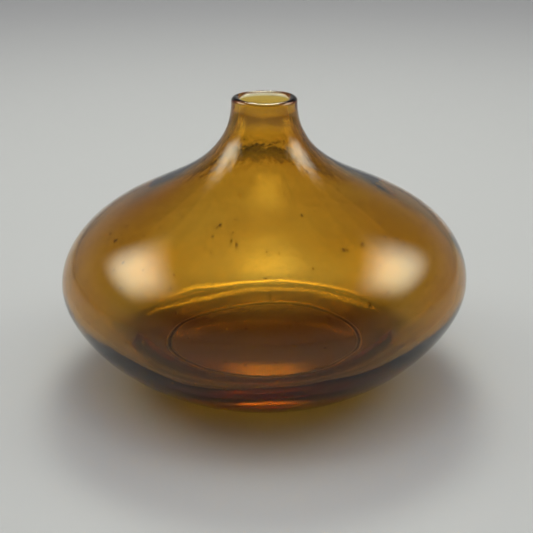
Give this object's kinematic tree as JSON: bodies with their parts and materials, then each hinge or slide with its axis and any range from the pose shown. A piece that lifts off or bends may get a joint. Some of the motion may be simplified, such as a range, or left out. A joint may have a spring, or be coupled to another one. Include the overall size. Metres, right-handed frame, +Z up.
{
  "type": "glass bud vase",
  "caption": "Squat cased-glass bud vase: a flattened bulb with a heavy clear base on a narrow resting ring, drawn in to a small mouth with a thick rounded lip, for single stems.",
  "frame": {"origin": "centre of the resting ring, on the plane of the table", "axes": "+Z up along the axis of revolution, out of the mouth; +X and +Y are any two level directions, because the vase is a body of revolution"},
  "size_m": [0.17, 0.17, 0.1185],
  "materials": {
    "clear_glass": "fire-polished gloss",
    "amber_glass": "fire-polished gloss"
  },
  "bodies": {
    "root": {"glass_casing": "clear_glass", "amber_lining": "amber_glass"}
  },
  "joints": []
}
